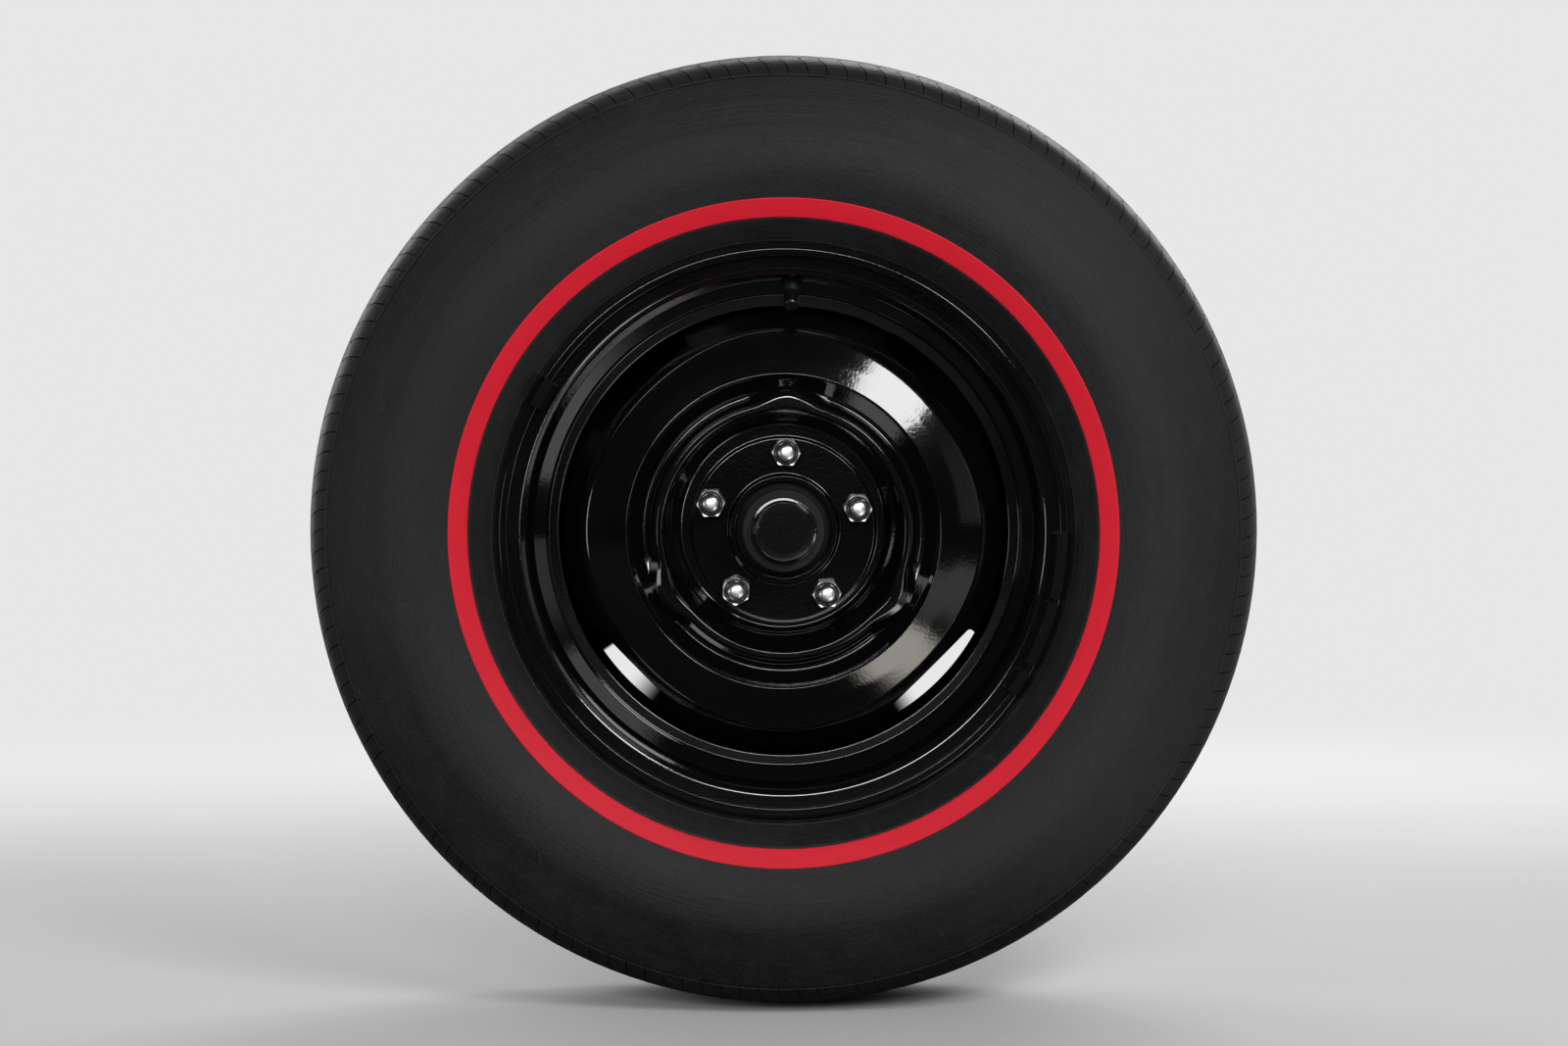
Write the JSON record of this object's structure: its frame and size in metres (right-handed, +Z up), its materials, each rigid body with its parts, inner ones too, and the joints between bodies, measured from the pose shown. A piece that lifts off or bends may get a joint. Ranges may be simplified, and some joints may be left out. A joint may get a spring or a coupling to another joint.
{
  "type": "car front wheel end",
  "caption": "Steel wheel with red stripe tyre, turning on a drum brake hub and a steering knuckle with ball joint eyes and a steering arm.",
  "frame": {"origin": "centre of the steering knuckle's lower ball joint hole", "axes": "+Z up, +Y inboard along the axle, +X towards the steering arm"},
  "size_m": [0.6999, 0.2819, 0.7],
  "materials": {
    "tyre": "matte",
    "stripe": "satin",
    "wheel_paint": "gloss",
    "valve_rubber": "satin",
    "black_plastic": "satin",
    "weight_paint": "satin",
    "chrome": "polished",
    "bolt_steel": "satin",
    "bearing_steel": "polished",
    "cast_iron": "matte",
    "forged_steel": "matte",
    "plate_paint": "satin"
  },
  "bodies": {
    "knuckle": {"steering_knuckle": "forged_steel", "steering_arm": "forged_steel", "spindle_nut": "bolt_steel", "backing_plate": "plate_paint", "arm_bolts": "bolt_steel", "plate_bolts": "bolt_steel", "hose_port": "bolt_steel", "bleed_screw": "bolt_steel", "adjuster_plug": "valve_rubber"},
    "wheel": {"tyre": "tyre", "red_stripe": "stripe", "rim": "wheel_paint", "wheel_disc": "wheel_paint", "valve_stem": "valve_rubber", "valve_cap": "black_plastic", "balance_weight_1": "weight_paint", "balance_weight_2": "weight_paint", "balance_weight_3": "weight_paint", "balance_weight_4": "weight_paint", "lug_nuts": "chrome", "wheel_studs": "bolt_steel", "hub": "cast_iron", "brake_drum": "cast_iron", "dust_cap": "wheel_paint", "outer_bearing": "bearing_steel", "inner_bearing": "bearing_steel"}
  },
  "joints": [
    {"name": "wheel_spin", "type": "hinge", "parent": "knuckle", "child": "wheel", "pos_m": [0, -0.142, 0.095], "axis": [0, -1, 0], "continuous": true}
  ]
}
